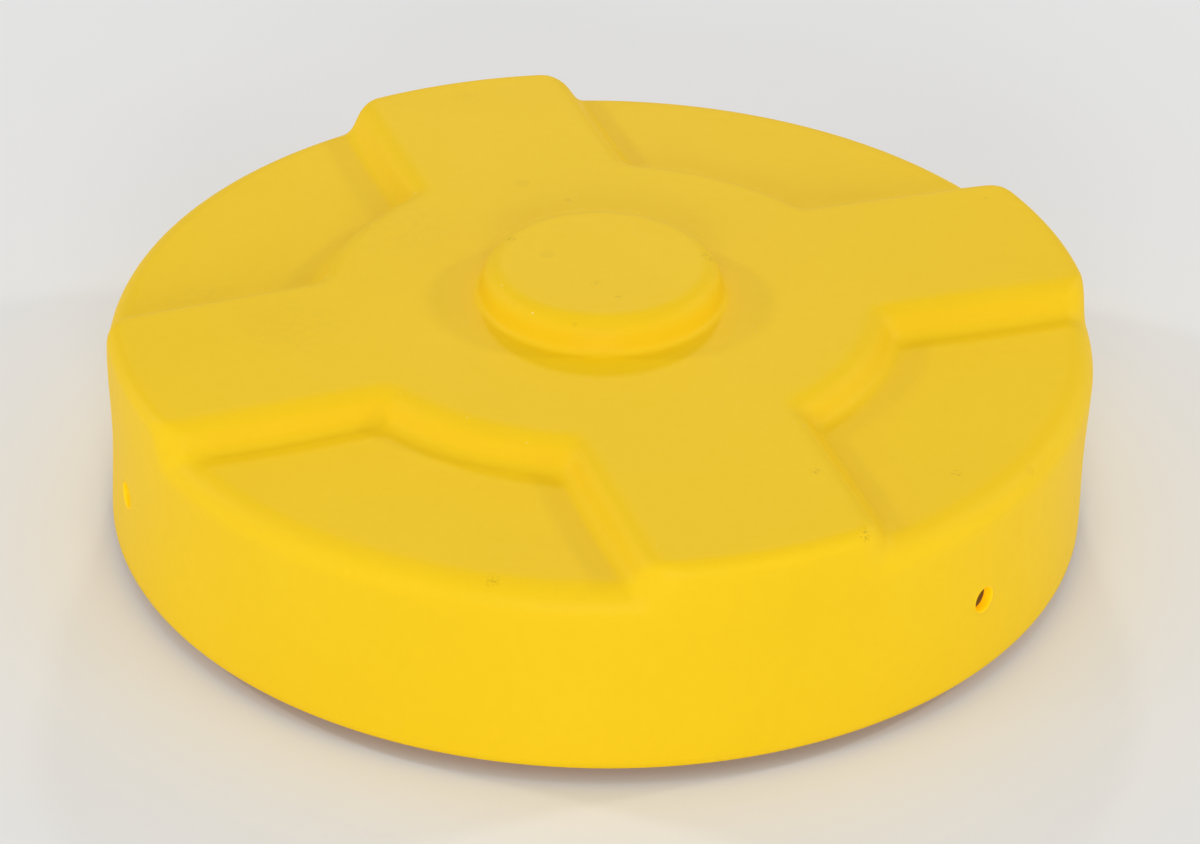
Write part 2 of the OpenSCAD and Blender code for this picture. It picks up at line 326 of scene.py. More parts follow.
def painted_finish(name):
    f = Finish(name)
    peel, chips = f.noise(420, detail=2), f.noise(60, detail=8, roughness=0.7).over(0.71, 0.73)
    worn = f.attribute("wear") * f.noise(55, detail=6, roughness=0.65).over(0.46, 0.56)
    bare = chips.math("MAXIMUM", worn)
    color = f.blend(f.noise(12, detail=3).over(0.3, 0.7), rgb(34, 35, 37), rgb(46, 47, 50))
    color = f.blend(bare, color, rgb(150, 146, 140))
    rough = 0.38 + f.noise(30, detail=3) * 0.2 + bare * 0.1
    return f.set(color=color, roughness=rough, metallic=bare * 0.9, normal=f.bump(peel - bare, 0.00012, 0.5))


def rubber_finish(name):
    f = Finish(name, **{"Specular IOR Level": 0.35})
    grain, dust = f.noise(700, detail=4), f.noise(38, detail=5).over(0.45, 0.75)
    scrape = f.attribute("wear") * f.noise(110, detail=4).over(0.4, 0.65)
    color = f.blend(dust * 0.6, rgb(44, 45, 47), rgb(96, 94, 90))
    color = f.blend(scrape * 0.25, color, rgb(120, 118, 112))
    return f.set(color=color, roughness=0.62 + dust * 0.25, normal=f.bump(grain - scrape, 0.0002, 0.6))


def plastic_finish(name, tone):
    f = Finish(name)
    grain, clouds = f.noise(1100, detail=2), f.noise(28, detail=4)
    worn = f.attribute("wear") * f.noise(75, detail=4).over(0.4, 0.6)
    color = f.blend(clouds.over(0.3, 0.7), rgb(*tone), shifted(tone, 16))
    color = f.blend(f.noise(90, detail=6).over(0.64, 0.72) * 0.5, color, shifted(tone, 60))
    color = f.blend(worn * 0.6, color, shifted(tone, 70))
    rough = 0.42 + clouds * 0.18 + worn * 0.12
    return f.set(color=color, roughness=rough, normal=f.bump(grain, 0.00012, 0.5))


def polished_finish(name, tone):
    f = Finish(name, Metallic=1.0)
    brush, clouds = f.noise(500, detail=5, stretch=(1, 1, 10)), f.noise(60, detail=4)
    color = f.blend(clouds.over(0.35, 0.7), rgb(*tone), shifted(tone, -30))
    rough = 0.14 + clouds * 0.1 + brush * 0.1
    return f.set(color=color, roughness=rough, normal=f.bump(brush, 0.00003, 0.4))


finishes = {
    "yellow_polyethylene": yellow_polyethylene,
    "zinc_fastener": zinc_finish("zinc_fastener", (205, 206, 208), 300),
    "zinc_pressing": zinc_finish("zinc_pressing", (190, 192, 196), 160),
    "black_painted_steel": painted_finish("black_painted_steel"),
    "tyre_rubber": rubber_finish("tyre_rubber"),
    "grey_plastic": plastic_finish("grey_plastic", (104, 107, 111)),
    "black_plastic": plastic_finish("black_plastic", (36, 36, 38)),
    "bearing_steel": polished_finish("bearing_steel", (205, 207, 210)),
    "brass": polished_finish("brass", (214, 172, 92)),
}
slot_of = {part["node"]: part["material_slot"] for part in record["subparts"]}
for name, node in frame["nodes"].items():
    node.data.materials.clear()
    node.data.materials.append(finishes[slot_of[name]])
print("finishes:", ", ".join(finishes))

# %% [markdown]
# ## The deck's shape
# The moulding is a round cap whose top is stepped, with soft edges everywhere. A grid that follows the
# steps gives clean highlights: rings of points run round the deck, and columns run outwards along the arm
# walls. Each point's height comes from its distance to the nearest wall, through a profile of two fillets
# with a sloped flank between.

# %% Driving sizes of the deck
DECK_NODES = ("deck", "deck_rim_arcs", "deck_hole_panels")
corners = [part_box(name) for name in DECK_NODES]
HEM = min(low.z for low, _ in corners) / MM
BOSS_TOP = max(high.z for _, high in corners) / MM
ARM_TOP = mounts["drum_rest"]["pos_m"][2] / MM
WALL = mounts["tie_hole_left"]["dims"]["length_mm"]
HOLE_R = mounts["tie_hole_left"]["dims"]["r_mm"]
DECK_R = abs(mounts["tie_hole_left"]["pos_m"][0]) / MM + WALL / 2
ARM_HEIGHT = 17
LOW_TOP = ARM_TOP - ARM_HEIGHT
ARM_HALF, PLATEAU_R, BOSS_R, POST_R = 74.2, 177.0, 74.0, 24.0
RIM_R, ARM_RIM_R, ARM_CORNER_R, CORNER_SOFTNESS, LEAST_RIM_R = 17.0, 9.0, 14.0, 9.0, 3

# The top is domed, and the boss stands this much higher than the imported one.
DOME, BOSS_LIFT = 5.0, 3

# Lower fillet, upper fillet and slope in degrees of each step, on the outer and then on the inner skin.
ARM_STEP, ARM_STEP_INSIDE = (10, 15, 33), (8, 6, 20)
BOSS_STEP, BOSS_STEP_INSIDE = (4.5, 12.5, 13), (8, 4, 16)
print("deck heights:", HEM, LOW_TOP, ARM_TOP, BOSS_TOP, "radius:", DECK_R)


# %% Profile of a step: bottom fillet, flank and top fillet
def step_profile(rise, lower_r, upper_r, slope_deg, parts=6):
    """Points (distance, height) from the foot of a step to its top edge, with 0 half way up the flank."""
    slope = math.radians(slope_deg)
    turn = math.pi / 2 - slope
    foot = [(lower_r * math.sin(a), lower_r * (1 - math.cos(a))) for a in np.linspace(0, turn, parts)]
    flank_h = rise - (lower_r + upper_r) * (1 - math.cos(turn))
    flank_w = flank_h * math.tan(slope)
    foot_x, foot_h = foot[-1]
    head_x = foot_x + flank_w
    head = [
        (head_x + upper_r * (math.sin(turn) - math.sin(a)), rise - upper_r * (1 - math.cos(a)))
        for a in np.linspace(turn, 0, parts)
    ]
    middle = foot_x + flank_w / 2
    points = np.array(foot + [(middle, foot_h + flank_h / 2)] + head)
    points[:, 0] -= middle
    return points


def climb(profile, distance):
    return np.interp(distance, profile[:, 0], profile[:, 1])


def rim_drop(edge_r, from_rim):
    """How far a rim of radius edge_r has fallen at a distance from the outside of the skirt."""
    t = np.clip(1 - from_rim / edge_r, 0, 1)
    return edge_r * (1 - np.sqrt(1 - t * t))


def corner_bend(from_rim):
    """How far an arm's side wall curves inwards near the rim, as the arm's corner is round in plan."""
    t = np.clip(1 - from_rim / ARM_CORNER_R, 0, 1)
    return ARM_CORNER_R * (1 - np.sqrt(1 - t * t))


arm_rise, boss_rise = ARM_TOP - LOW_TOP, BOSS_TOP + BOSS_LIFT - ARM_TOP - DOME
print("arm step:", step_profile(arm_rise, *ARM_STEP).round(2)[[0, -1]].tolist())


# %% [markdown]
# ## Rings and columns
# One eighth of the deck is enough to plan: the rest mirrors it. Columns 0 to ARM_COLUMNS lie on the arm,
# the next ones follow the wall's profile, and the last ones fan out over the low sector. The inside of the
# deck is the same shape made smaller by the wall, so one function makes both skins.


# %% A skin of the deck
ARM_COLUMNS, SECTOR_COLUMNS = 16, 40
POST_ROWS, BOSS_ROWS, PLATEAU_ROWS, ARM_ROWS, RIM_ROWS, SKIRT_ROWS = 5, 5, 16, 24, 14, 30
FIRST_RING = 6


def soft_max(a, b, k):
    mix = np.clip(0.5 + 0.5 * (a - b) / k, 0, 1)
    return b * (1 - mix) + a * mix + k * mix * (1 - mix)


def skin_grid(inset, arm_step, boss_step):
    """Points of one skin: rows run from the centre to the hem, and columns go round."""
    plateau_r, boss_r, deck_r, low = PLATEAU_R - inset, BOSS_R - inset, DECK_R - inset, LOW_TOP - inset
    rim_r, arm_rim_r = RIM_R - inset, ARM_RIM_R - min(inset, ARM_RIM_R - LEAST_RIM_R)
    wall_d, boss_d = arm_step[:, 0], boss_step[:, 0]
    flat_end = deck_r - rim_r
    rings = np.concatenate([
        np.linspace(FIRST_RING, POST_R + 2, POST_ROWS),
        np.linspace(POST_R + 6, boss_r - boss_d[-1] - 2, BOSS_ROWS),
        boss_r - boss_d[::-1],
        np.linspace(boss_r - boss_d[0] + 4, plateau_r - wall_d[-1] - 4, PLATEAU_ROWS),
        plateau_r - wall_d[::-1],
        np.linspace(plateau_r - wall_d[0] + 3, flat_end, ARM_ROWS),
        flat_end + rim_r * np.sin(np.linspace(0, math.pi / 2, RIM_ROWS + 1)[1:]),
        np.full(SKIRT_ROWS, deck_r),
    ])
    from_rim = (deck_r - rings)[:, None]
    fall = np.concatenate([np.zeros(len(rings) - SKIRT_ROWS), np.linspace(0, 1, SKIRT_ROWS + 1)[1:]])
    held = np.maximum(rings, plateau_r - wall_d[-1] - 4)[:, None]
    arm_half = ARM_HALF - inset - corner_bend(from_rim)
    arm_y = (arm_half - wall_d[-1]) * np.linspace(0, 1, ARM_COLUMNS + 1)[None, :-1]
    wall_y = arm_half - wall_d[None, ::-1]
    near = np.arcsin(np.concatenate([arm_y, wall_y], axis=1) / held)
    share = np.linspace(0, 1, SECTOR_COLUMNS + 1)[1:]
    far = near[:, -1:] + (math.pi / 4 - near[:, -1:]) * share[None, :]
    eighth = np.concatenate([near, far], axis=1)
    angles = []
    for quarter in range(4):
        turn = quarter * math.pi / 2
        angles += [turn + eighth, turn + math.pi / 2 - eighth[:, -2:0:-1]]
    angle = np.concatenate(angles, axis=1)
    folded = np.concatenate([eighth, eighth[:, -2:0:-1]] * 4, axis=1)
    r = np.broadcast_to(rings[:, None], angle.shape)
    inside = soft_max(arm_half - r * np.sin(folded), plateau_r - r, CORNER_SOFTNESS)
    lower = low - rim_drop(rim_r, from_rim)
    upper = ARM_TOP - inset - rim_drop(arm_rim_r, from_rim)
    top = lower + climb(arm_step, inside) / arm_rise * (upper - lower) + climb(boss_step, boss_r - r)
    if inset:
        top = np.where(r < POST_R + 1, ARM_TOP - inset, top)
    z = top + (HEM - top) * fall[:, None]
    return r, angle, z


outer = skin_grid(0, step_profile(arm_rise, *ARM_STEP), step_profile(boss_rise, *BOSS_STEP))
inner = skin_grid(
    WALL, step_profile(arm_rise, *ARM_STEP_INSIDE), step_profile(boss_rise, *BOSS_STEP_INSIDE)
)
print("grid:", outer[0].shape, inner[0].shape)

# %% [markdown]
# ## Cooling leaves its marks
# A large thin moulding never stays perfectly true. Its skirt draws in a little between the shoulder and the
# hem, more on one side than on the other, its low flats sink by a hair, and its top rises towards the
# middle. These soft errors make plastic look moulded.


# %% Soft moulding errors
WAIST, PINCH, OVAL, SINK = 1.6, 2.6, 1.2, 0.7
PINCH_AT, LONG_AT = math.radians(-19), math.radians(71)
WAIST_START, RIM_BAND, RIM_FADE, FLAT_SLACK, FLAT_FADE = 6, 30, 20, 2, 1.5


def settle(r, angle, z, dome):
    """Pulls the skirt in, domes the top, lets the low flats sink, and returns x, y, z."""
    shoulder = LOW_TOP - RIM_R
    t = np.clip((shoulder + WAIST_START - z) / (shoulder + WAIST_START - HEM), 0, 1)
    near_rim = np.clip((r - (DECK_R - RIM_BAND)) / RIM_FADE, 0, 1)
    pinch = PINCH * np.clip(np.cos(angle - PINCH_AT), 0, 1) ** 2 * t ** 2
    waist = WAIST * np.sin(math.pi * t) ** 1.5
    oval = OVAL * (1 - np.cos(2 * (angle - LONG_AT))) / 2
    radius = r - near_rim * (oval + pinch + waist)
    flat = np.clip((LOW_TOP + FLAT_SLACK - z) / FLAT_FADE, 0, 1) * np.clip((z - shoulder) / RIM_R, 0, 1)
    lull = np.sin(np.clip((r - PLATEAU_R) / (DECK_R - PLATEAU_R), 0, 1) * math.pi) ** 2
    sink = SINK * lull * flat * (r > PLATEAU_R)
    lift = dome * (1 - np.clip(r / DECK_R, 0, 1) ** 2)
    return np.stack([radius * np.cos(angle), radius * np.sin(angle), z - sink + lift], axis=-1)


skins = [settle(*outer, DOME), settle(*inner, 0)]
print("outer skin spans", skins[0].reshape(-1, 3).min(0).round(1), skins[0].reshape(-1, 3).max(0).round(1))

# %% [markdown]
# ## Tie holes
# Three holes go through the skirt. A boolean would leave ragged shading, so a patch of the grid is left out
# round each hole instead, and rings of points close it from the patch's square edge to the round hole, in
# both skins.

# %% Patches for the tie holes
PATCH_HALF = 15.0
HOLES = [mounts[name] for name in ("tie_hole_left", "tie_hole_front", "tie_hole_back")]


def patch_window(grid, at_angle, at_z):
    """Row and column limits of the patch round a hole, taken from the outer skin."""
    r, angle, z = grid
    last = len(r) - 1
    away = (angle[last] - at_angle + math.pi) % TAU - math.pi
    columns = np.where(np.abs(away) * DECK_R < PATCH_HALF)[0]
    beside = columns[np.argmin(np.abs(away[columns]))]
    rows = [i for i in range(last - SKIRT_ROWS, last) if abs(z[i, beside] - at_z) < PATCH_HALF]
    return rows[0], rows[-1], columns[np.argsort(away[columns])]


print("tie holes:", len(HOLES), "of radius", HOLE_R)

# %% Join the skins into one moulding
# Each ring of a hole's lip: how far it lies outside the hole's radius, and how proud of the skin it stands.
LIP = ((3.5, 0.0), (1.6, 0.12), (1.0, 0.45), (0.5, 0.35), (0.1, -0.15), (0.0, -0.8))
INSIDE_LIP = 0.4

# Each loop of the rounded hem: its share of the way through the wall, and how far it lies below the hem.
HEM_ROUND = ((0.12, 0.9), (0.35, 1.4), (0.65, 1.4), (0.88, 0.9))


def deck_mesh():
    rows, columns = outer[0].shape
    points = [p for skin in skins for p in skin.reshape(-1, 3)]
    faces = []
    centre = []
    for skin in (0, 1):
        base = skin * rows * columns
        centre.append(len(points))
        points.append(np.array([0, 0, skins[skin][0, :, 2].mean()]))
        for j in range(columns):
            k = (j + 1) % columns
            first, second = (j, k) if skin == 0 else (k, j)
            faces.append((base + first, base + second, centre[skin]))
    windows = []
    for hole in HOLES:
        x, y, z = (c / MM for c in hole["pos_m"])
        windows.append((math.atan2(y, x) % TAU, z, patch_window(outer, math.atan2(y, x), z)))
    left_out = set()
    for _, _, (top, bottom, across) in windows:
        left_out |= {(i, j) for i in range(top, bottom) for j in across[:-1]}
    for i in range(rows - 1):
        for j in range(columns):
            if (i, j) in left_out:
                continue
            k = (j + 1) % columns
            a, b, c, d = i * columns + j, i * columns + k, (i + 1) * columns + k, (i + 1) * columns + j
            faces.append((a, d, c, b))
            base = rows * columns
            faces.append((base + a, base + b, base + c, base + d))
    add_holes(points, faces, windows, rows, columns)
    add_hem(points, faces, rows, columns)
    return points, faces


def add_holes(points, faces, windows, rows, columns):
    """Closes each patch with rings from its square edge to the round hole, and joins the two skins."""
    for at_angle, at_z, (top, bottom, across) in windows:
        edge = [(top, j) for j in across] + [(i, across[-1]) for i in range(top + 1, bottom + 1)]
        edge += [(bottom, j) for j in across[-2::-1]] + [(i, across[0]) for i in range(bottom - 1, top, -1)]
        mouths = []
        for skin in (0, 1):
            loop = [skin * rows * columns + i * columns + j for i, j in edge]
            ring = [points[v] for v in loop]
            side = [((math.atan2(p[1], p[0]) - at_angle + math.pi) % TAU - math.pi) * DECK_R for p in ring]
            spin = [math.atan2(p[2] - at_z, s) for p, s in zip(ring, side, strict=True)]
            skin_r = float(np.mean([math.hypot(p[0], p[1]) for p in ring]))
            out = 1 if skin == 0 else -1
            for past, proud in LIP:
                hole_r = HOLE_R + past
                fresh = []
                for turn in spin:
                    a = at_angle + hole_r * math.cos(turn) / DECK_R
                    reach = skin_r + out * proud * (1 if skin == 0 else INSIDE_LIP)
                    height = at_z + hole_r * math.sin(turn)
                    fresh.append(len(points))
                    points.append(np.array([reach * math.cos(a), reach * math.sin(a), height]))
                n = len(loop)
                for m in range(n):
                    quad = (loop[m], loop[(m + 1) % n], fresh[(m + 1) % n], fresh[m])
                    faces.append(quad[::-1] if skin == 0 else quad)
                loop = fresh
            mouths.append(loop)
        n = len(mouths[0])
        for m in range(n):
            faces.append((mouths[0][m], mouths[1][m], mouths[1][(m + 1) % n], mouths[0][(m + 1) % n]))


def add_hem(points, faces, rows, columns):
    """Closes the two skins at the hem with a rounded edge."""
    start = [(rows - 1) * columns + j for j in range(columns)]
    end = [rows * columns + v for v in start]
    loops = [start]
    for share, lower in HEM_ROUND:
        loops.append(list(range(len(points), len(points) + columns)))
        for a, b in zip(start, end, strict=True):
            p = points[a] * (1 - share) + points[b] * share
            points.append(np.array([p[0], p[1], HEM - lower]))
    loops.append(end)
    for upper, lower in zip(loops, loops[1:], strict=False):
        for m in range(columns):
            k = (m + 1) % columns
            faces.append((upper[m], lower[m], lower[k], upper[k]))


def mesh_object(name, points, faces, finish):
    """A smooth piece from points in millimetres."""
    mesh = bpy.data.meshes.new(name)
    mesh.from_pydata([Vector(p) * MM for p in points], [], [tuple(int(v) for v in f) for f in faces])
    mesh.materials.append(finishes[finish])
    mesh.validate()
    mesh.update()
    mesh.polygons.foreach_set("use_smooth", np.ones(len(mesh.polygons), bool))
    made = bpy.data.objects.new(name, mesh)
    collection.objects.link(made)
    return made


deck = mesh_object("moulded_deck", *deck_mesh(), "yellow_polyethylene")
print("deck:", len(deck.data.vertices), "points", len(deck.data.polygons), "faces")

# %% [markdown]
# ## What each point of the deck knows
# A finish can't tell a shoulder from a flat, or the outside from the inside, but an attribute can. Two
# values are written on every point: `wear`, where hands and drums rub, and `inside`, the strength of a
# painted glow that stands in for light coming through the thin wall.

# %% Wear and painted glow on the deck
RUB_AT, RUB_SPREAD = 0.86, 0.12
# Painted glow on the inner skin, and how far past a hole's radius the full glow reaches.
INNER_SKIN_GLOW, BORE_SLACK = 0.2, 0.2


def rubbed(grid):
    """Where hands and drums rub the outer skin: 1 on the shoulders of the arms and of the boss."""
    z = grid[2]
    steps = [(z, LOW_TOP, arm_rise), (z, ARM_TOP, boss_rise)]
    return np.max(
        [np.exp(-(((z - low) / rise - RUB_AT) / RUB_SPREAD) ** 2) for z, low, rise in steps], axis=0
    )


def painted_glow_share(made):
    """Strength of the painted glow that stands in for light through the plastic: a little on the inner skin,
    and much in the tie holes.
    """
    at = np.array([v.co / MM for v in made.data.vertices])
    light = np.zeros(len(at))
    light[outer[0].size : outer[0].size + inner[0].size] = INNER_SKIN_GLOW
    for hole in HOLES:
        away = at - np.array(hole["pos_m"]) / MM
        along = away @ np.array(hole["axis"])
        from_axis = np.linalg.norm(away - along[:, None] * hole["axis"], axis=1)
        light[(from_axis < HOLE_R + BORE_SLACK) & (np.abs(along) < 2 * WALL)] = 1
    return light


def paint(made, name, values):
    """Writes one value a point into a named attribute, with zeros after the last value."""
    layer = made.data.attributes.new(name, "FLOAT", "POINT")
    layer.data.foreach_set("value", np.pad(values, (0, len(made.data.vertices) - len(values))))


paint(deck, "wear", rubbed(outer).ravel())
paint(deck, "inside", painted_glow_share(deck))
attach(deck, "deck_frame")
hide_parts(*DECK_NODES)
print("attributes:", [a.name for a in deck.data.attributes if a.data_type == "FLOAT"])

# %% [markdown]
# ## Wear and turned pieces
# Most of the rolling gear is turned or pressed: tyres, cups, washers, nuts and bolts. Such a piece is an
# outline swept round an axis. Its corners are eased first, because no real corner is sharp, and each point
# remembers whether it sticks out. The finishes read that as `wear`, so bright metal and rubbed plastic show
# only where hands and grit reach.


# %% Collect a piece, point by point
class Shape:
    """Points in millimetres, faces and wear of one piece while it is made."""

    def __init__(self):
        self.points, self.faces, self.wear = [], [], []

    def add(self, points, faces, wear, place):
        base = len(self.points)
        self.points += [place @ Vector(p) for p in points]
        self.faces += [tuple(base + v for v in face) for face in faces]
        self.wear += wear


def eased(outline, radius, parts=3):
    """An outline with its corners rounded, and the wear of each point: 1 where a corner sticks out."""
    corners = np.array(outline, float)
    x, y = corners.T
    way = np.sign(np.sum(x * np.roll(y, -1) - np.roll(x, -1) * y))
    points, wear = [], []
    for before, at, after in zip(np.roll(corners, 1, 0), corners, np.roll(corners, -1, 0), strict=True):
        back, on = before - at, after - at
        far_back, far_on = np.linalg.norm(back), np.linalg.norm(on)
        reach = min(radius, 0.45 * far_back, 0.45 * far_on)
        a, b = at + back / far_back * reach, at + on / far_on * reach
        proud = (on[0] * back[1] - on[1] * back[0]) * way > 1e-6
        for t in np.linspace(0, 1, parts + 1):
            points.append((1 - t) ** 2 * a + 2 * t * (1 - t) * at + t * t * b)
            wear.append(1.0 if proud and 0 < t < 1 else 0.0)
    return points, wear


def turn(shape, outline, place, radius=0.4, steps=72, flats=None):
    """Sweeps a closed outline of (radius, height) round Z. With flats, the sweep is cut to a hexagon."""
    profile, profile_wear = eased(outline, radius)
    count = len(profile)
    points, wear, faces = [], [], []
    for step in range(steps):
        a = step * TAU / steps
        side = flats / math.cos(a % (TAU / 6) - TAU / 12) if flats else math.inf
        for (r, z), worn in zip(profile, profile_wear, strict=True):
            points.append((min(r, side) * math.cos(a), min(r, side) * math.sin(a), z))
            wear.append(worn)
        here, there = step * count, (step + 1) % steps * count
        for m in range(count):
            n = (m + 1) % count
            faces.append((here + m, here + n, there + n, there + m))
    shape.add(points, faces, wear, place)


print("eased square:", len(eased([(0, 0), (1, 0), (1, 1), (0, 1)], 0.2)[0]), "points")


# %% Finish a piece
def finish_piece(name, bm, finish, body, *nodes, crease_deg=38):
    """Turns a bmesh in metres into a named piece that rides on a body and stands for CAD nodes."""
    bmesh.ops.recalc_face_normals(bm, faces=bm.faces)
    mesh = bpy.data.meshes.new(name)
    bm.to_mesh(mesh)
    bm.free()
    mesh.materials.append(finishes[finish])
    mesh.polygons.foreach_set("use_smooth", np.ones(len(mesh.polygons), bool))
    mesh.set_sharp_from_angle(angle=math.radians(crease_deg))
    made = bpy.data.objects.new(name, mesh)
    collection.objects.link(made)
    made.modifiers.new("even_shading", "WEIGHTED_NORMAL").keep_sharp = True
    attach(made, body)
    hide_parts(*nodes)
    return made


def shape_piece(name, shape, finish, body, *nodes):
    bm = bmesh.new()
    layer = bm.verts.layers.float.new("wear")
    verts = [bm.verts.new(Vector(p) * MM) for p in shape.points]
    for vert, worn in zip(verts, shape.wear, strict=True):
        vert[layer] = worn
    for face in shape.faces:
        bm.faces.new([verts[v] for v in face])
    bmesh.ops.remove_doubles(bm, verts=bm.verts, dist=1e-6)
    return finish_piece(name, bm, finish, body, *nodes)


def broken_edges(name, node, width, fade, finish, body, sharp_deg=30):
    """A CAD node's copy with edges bevelled by `width`, and wear that fades over the next `fade` mm."""
    bm = bmesh.new()
    bm.from_mesh(frame["nodes"][node].data)
    bmesh.ops.remove_doubles(bm, verts=bm.verts, dist=1e-6)
    bmesh.ops.dissolve_limit(bm, angle_limit=math.radians(1), verts=bm.verts, edges=bm.edges)
    layer = bm.verts.layers.float.new("wear")
    limit = math.radians(sharp_deg)
    sharp = [e for e in bm.edges if len(e.link_faces) == 2 and e.calc_face_angle() > limit]
    cut = bmesh.ops.bevel(
        bm, geom=sharp, offset=width * MM, segments=2, profile=0.5, affect="EDGES", clamp_overlap=True
    )
    broken = set(cut["faces"])
    flats = [face for face in bm.faces if face not in broken]
    bmesh.ops.inset_region(bm, faces=flats, thickness=fade * MM, use_boundary=True)
    for faces, worn in ((broken, 1.0), (flats, 0.0)):
        for vert in {vert for face in faces for vert in face.verts}:
            vert[layer] = worn
    return finish_piece(name, bm, finish, body, node)


print("piece tools ready")

# %% [markdown]
# ## Where each caster stands
# All four casters are alike, a quarter turn apart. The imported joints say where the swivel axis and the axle
# of each caster are, so every piece is made once, about its own axis, and placed four times.

# %% Places
joints = {j["name"]: j for j in record["behaviour"]["joints"]}
CASTERS = (1, 2, 3, 4)


def upright(x, y, z=0.0):
    return Matrix.Translation((x, y, z))


def swivel_place(k):
    """From a caster's own frame, with +X outwards along the arm, to the deck's frame, in millimetres."""
    x, y, _ = joints[f"swivel_{k}"]["pos_m"]
    return upright(x / MM, y / MM) @ Matrix.Rotation((k - 1) * TAU / 4, 4, "Z")


def axle_place(k):
    """From a frame with Z along the axle, and its middle at the origin, to the deck's frame."""
    x, y, z = joints[f"wheel_turn_{k}"]["pos_m"]
    turned = Matrix.Rotation((k - 1) * TAU / 4, 4, "Z") @ Matrix.Rotation(-TAU / 4, 4, "X")
    return upright(x / MM, y / MM, z / MM) @ turned


def span(node, axis):
    """Lowest and highest millimetre of a CAD node along one axis."""
    low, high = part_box(node)
    return low[axis] / MM, high[axis] / MM


print("swivel 1 at", tuple(swivel_place(1).translation))

# %% [markdown]
# ## Wheels
# The tyre is soft rubber moulded on a plastic core. Its tread is crowned a little, so that it swivels
# easily, with a fine parting line in the middle and a moulded groove round each side. The core keeps its
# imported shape, and only its edges are broken.

# %% Make the wheels
TYRE_R = (span("tyre_1", 2)[1] - span("tyre_1", 2)[0]) / 2
TYRE_HALF = span("tyre_1", 1)[1]
RUBBER_DEPTH = 9
CORE_R = TYRE_R - RUBBER_DEPTH


def tyre_outline():
    """Closed outline of a tyre. Each point of the side is a radius and a share of the half width."""
    side = [
        (CORE_R, 0.93),
        (CORE_R + 0.8, 0.985),
        (CORE_R + 1.9, 0.99),
        (CORE_R + 2.3, 0.95),
        (CORE_R + 3.3, 0.95),
        (CORE_R + 3.8, 0.985),
        (TYRE_R - 4.2, 0.97),
        (TYRE_R - 2.2, 0.9),
        (TYRE_R - 0.9, 0.78),
        (TYRE_R - 0.45, 0.62),
        (TYRE_R - 0.15, 0.35),
        (TYRE_R - 0.05, 0.04),
        (TYRE_R, 0.015),
    ]
    return [(r, -w * TYRE_HALF) for r, w in side] + [(r, w * TYRE_HALF) for r, w in reversed(side)]


for k in CASTERS:
    tyre = Shape()
    turn(tyre, tyre_outline(), axle_place(k), radius=0.5, steps=128)
    shape_piece(f"rubber_tyre_{k}", tyre, "tyre_rubber", f"wheel_{k}", f"tyre_{k}")
    broken_edges(f"ribbed_core_{k}", f"wheel_core_{k}", 0.6, 0.4, "grey_plastic", f"wheel_{k}")
print("tyre radius", round(TYRE_R, 1), "half width", round(TYRE_HALF, 1))

# %% [markdown]
# ## Pressed steel
# The cross is sawn plate under powder coat, and the forks and top plates are zinc plated pressings. What
# tells them from a drawing is their edges: a press rounds them, and coating thins and wears there first.

# %% Make the steel pieces
broken_edges("steel_cross", "spider", 0.9, 1.6, "black_painted_steel", "deck_frame")
for k in CASTERS:
    broken_edges(f"caster_plate_{k}", f"top_plate_{k}", 0.6, 0.6, "zinc_pressing", "deck_frame")
    broken_edges(f"pressed_fork_{k}", f"fork_{k}", 0.8, 0.8, "zinc_pressing", f"caster_{k}")
print("steel pieces:", 1 + 2 * len(CASTERS))

# %% [markdown]
# ## Nuts, bolts and washers
# A standard nut is a hexagon whose corners are turned off, and a bolt's thread reads as fine grooves even
# from far away. Both are turned pieces: the hexagon is a round outline cut back to its flats, and the
# thread is a row of rings, which is simpler than a true helix and looks almost the same.


# %% Fastener outlines
HEX_CHAMFER, HEX_FACE, HEX_FLARE = 0.13, 0.86, 0.17
THREAD_DEPTH, THREAD_CREST = 0.54, 0.06


def hex_outline(bore_r, corner_r, low, high):
    """Closed outline of a nut or a bolt head with both faces chamfered."""
    drop = HEX_CHAMFER * corner_r
    steps = np.linspace(0, 1, 6)
    lower = [(corner_r * (HEX_FACE + HEX_FLARE * s), low + drop * s) for s in steps]
    upper = [(r, high - (z - low)) for r, z in reversed(lower)]
    return [(bore_r, low), *lower, *upper, (bore_r, high)]


def thread_outline(r, low, high, pitch):
    """Closed outline of a threaded rod, with a flat end at each side."""
    depth, crest = THREAD_DEPTH * pitch, THREAD_CREST * pitch
    count = max(2, int((high - low) / pitch))
    edge = [(r - depth, low)]
    for i in range(count):
        at = low + (i + 0.5) * (high - low) / count
        edge += [(r, at - crest), (r, at + crest), (r - depth, at + 0.5 * (high - low) / count)]
    return [(0, low), *edge, (0, high)]


def rod_outline(r, low, high):
    return [(0, low), (r, low), (r, high), (0, high)]


def washer_outline(bore_r, outer_r, low, high):
    return [(bore_r, low), (outer_r, low), (outer_r, high), (bore_r, high)]


def nut(shape, corner_r, bore_r, low, high, place):
    flats = corner_r * math.cos(TAU / 12)
    turn(shape, hex_outline(bore_r, corner_r, low, high), place, 0.15, flats=flats)


print("thread points:", len(thread_outline(4, 0, 10, 1.25)))

# %% Sixteen plate fastenings
M8_R, M8_BORE_R, M8_PITCH, M8_NUT_R, M8_HEAD_R, M8_HEAD_DROP = 4, 4.05, 1.25, 7.5, 8, 4.6
PITCH_L, PITCH_W = 80.0, 60.0
HOLES_OF_PLATE = [(x * PITCH_L / 2, y * PITCH_W / 2) for x in (-1, 1) for y in (-1, 1)]
ARM_UNDER = span("mount_screws", 2)[1]
PLATE_Z = span("mount_washers", 2)[1]


